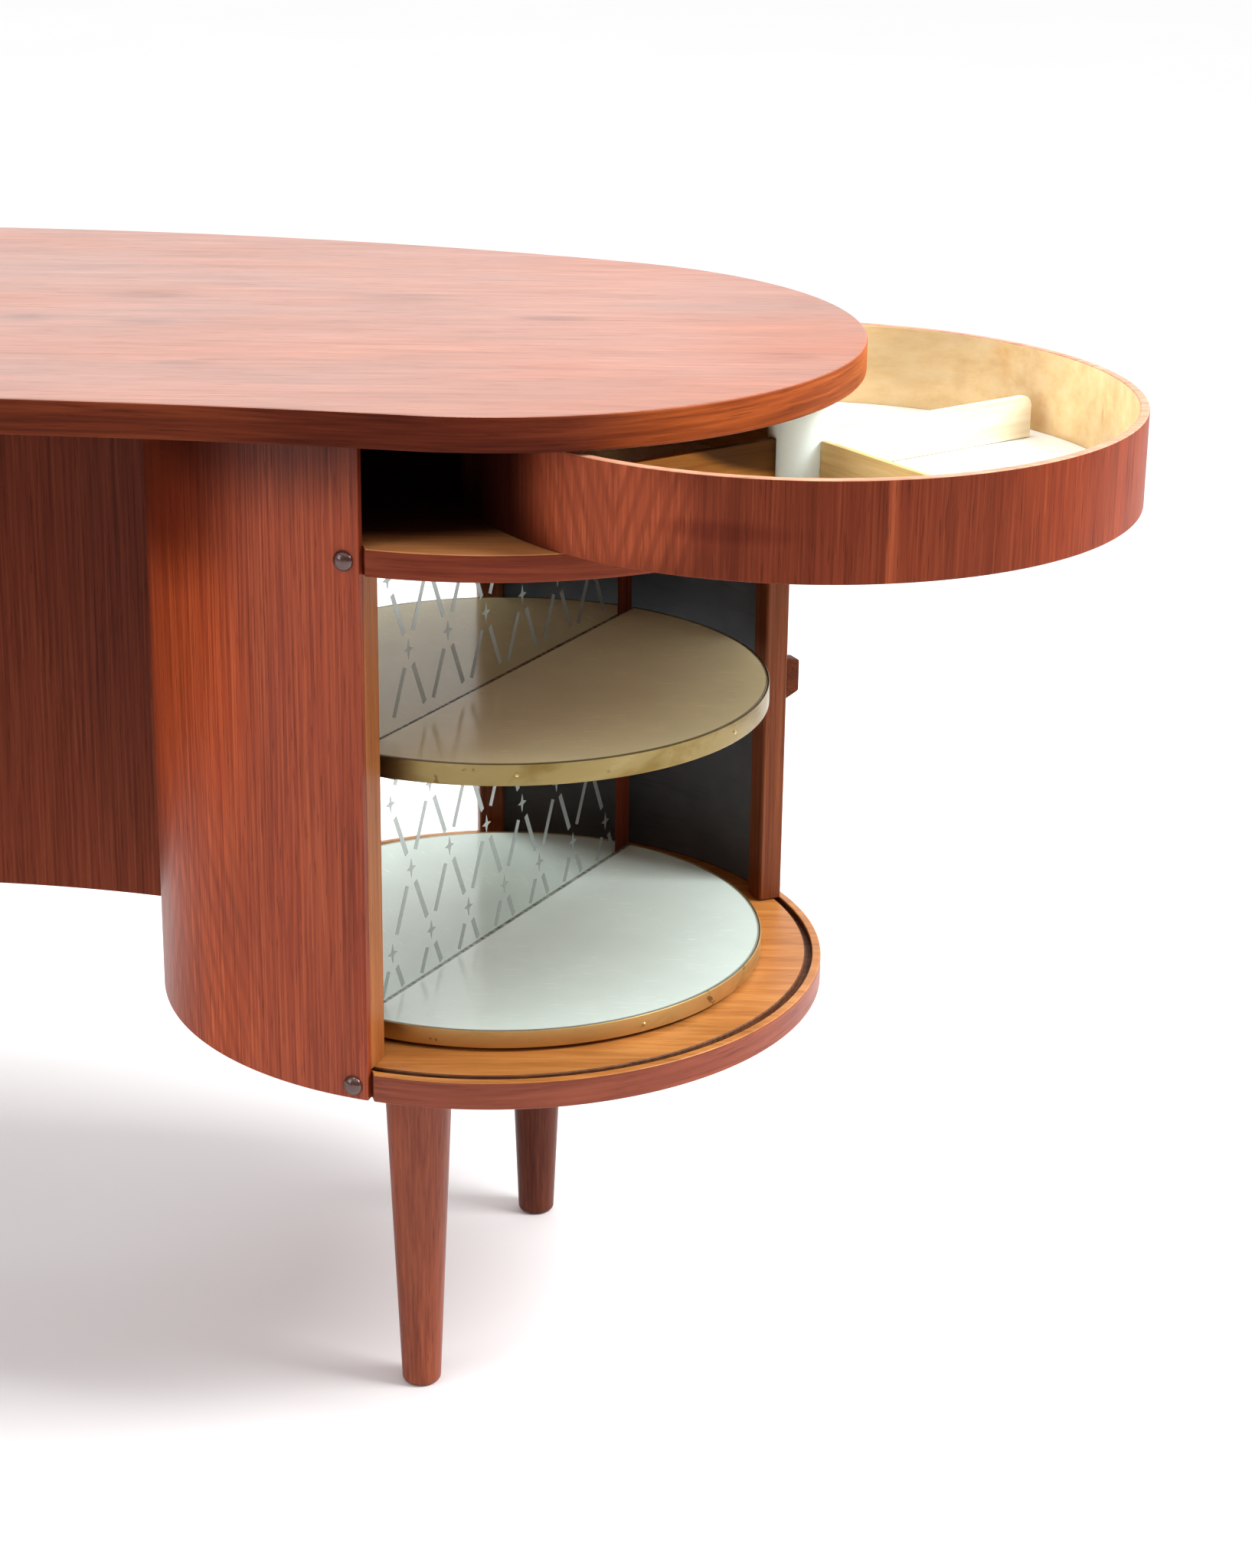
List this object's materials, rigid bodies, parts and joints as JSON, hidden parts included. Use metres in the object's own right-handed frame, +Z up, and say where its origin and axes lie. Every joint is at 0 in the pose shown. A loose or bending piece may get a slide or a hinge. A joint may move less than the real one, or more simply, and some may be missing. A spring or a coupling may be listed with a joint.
{
  "type": "kidney desk",
  "caption": "Kidney-shaped teak desk on drum pedestals, with round pull-out drawers, sliding tambour doors and a revolving mirrored bar.",
  "frame": {"origin": "middle of the desk's box on the floor, with the right-hand drawer pulled out", "axes": "+X along the desk to the sitter's right, +Y from the sitter to the back of the desk, +Z up"},
  "size_m": [1.633, 0.6466, 0.7451],
  "materials": {
    "teak": "oiled teak veneer, satin",
    "dark_teak": "dark turned plugs, satin",
    "birch": "clear lacquered birch ply",
    "mint_laminate": "pale mint laminate and paint",
    "brass": "worn polished brass",
    "mirror": "mirror with an etched diamond lattice",
    "steel": "plain steel",
    "canvas": "blue-grey canvas"
  },
  "bodies": {
    "carcass": {"desktop": "teak", "modesty_panel": "teak", "right_base_plate": "teak", "right_deck": "teak", "right_wall": "teak", "right_door_jamb": "birch", "right_front_base_plug": "dark_teak", "right_rear_base_plug": "dark_teak", "right_front_deck_plug": "dark_teak", "right_rear_deck_plug": "dark_teak", "right_front_leg": "teak", "right_rear_leg": "teak", "left_base_plate": "teak", "left_deck": "teak", "left_wall": "teak", "left_door_jamb": "birch", "left_front_base_plug": "dark_teak", "left_rear_base_plug": "dark_teak", "left_front_deck_plug": "dark_teak", "left_rear_deck_plug": "dark_teak", "left_front_leg": "teak", "left_rear_leg": "teak", "bar_thrust_washer": "steel", "left_shelf": "birch", "left_shelf_column": "birch"},
    "right_drawer": {"right_drawer_rim": "teak", "right_drawer_floor": "mint_laminate", "right_drawer_runner": "birch", "right_drawer_hub": "mint_laminate", "right_drawer_divider_1": "birch", "right_drawer_divider_2": "birch", "right_drawer_divider_3": "birch", "right_drawer_divider_4": "birch"},
    "right_door": {"right_door_slats": "teak", "right_door_canvas": "canvas", "right_door_stile": "teak", "right_door_pull": "teak"},
    "bar": {"turntable_core": "birch", "turntable_laminate": "mint_laminate", "turntable_band": "brass", "bar_spindle": "steel", "partition_near_post": "teak", "partition_far_post": "teak", "partition_core": "birch", "mirror_front": "mirror", "mirror_rear": "mirror", "bar_shelf_core": "birch", "bar_shelf_laminate": "mint_laminate", "bar_shelf_band": "brass", "bar_shelf_near_peg": "brass", "bar_shelf_far_peg": "brass"},
    "left_drawer": {"left_drawer_rim": "teak", "left_drawer_floor": "mint_laminate", "left_drawer_runner": "birch"},
    "left_door": {"left_door_slats": "teak", "left_door_canvas": "canvas", "left_door_stile": "teak", "left_door_pull": "teak"}
  },
  "joints": [
    {"name": "right_drawer_slide", "type": "slide", "parent": "carcass", "child": "right_drawer", "axis": [0.9511, -0.309, 0], "range_m": [-0.2215, 0]},
    {"name": "right_door_turn", "type": "hinge", "parent": "carcass", "child": "right_door", "pos_m": [0.37637, -0.02521, 0.45], "axis": [0, 0, 1], "range_deg": [-130.8, 38]},
    {"name": "bar_spin", "type": "hinge", "parent": "carcass", "child": "bar", "pos_m": [0.38303, -0.02737, 0.45], "axis": [0, 0, 1], "continuous": true},
    {"name": "left_drawer_slide", "type": "slide", "parent": "carcass", "child": "left_drawer", "axis": [-0.9511, -0.309, 0], "range_m": [0, 0.2215]},
    {"name": "left_door_turn", "type": "hinge", "parent": "carcass", "child": "left_door", "pos_m": [-0.55963, -0.02521, 0.45], "axis": [0, 0, -1], "range_deg": [0, 168]}
  ]
}
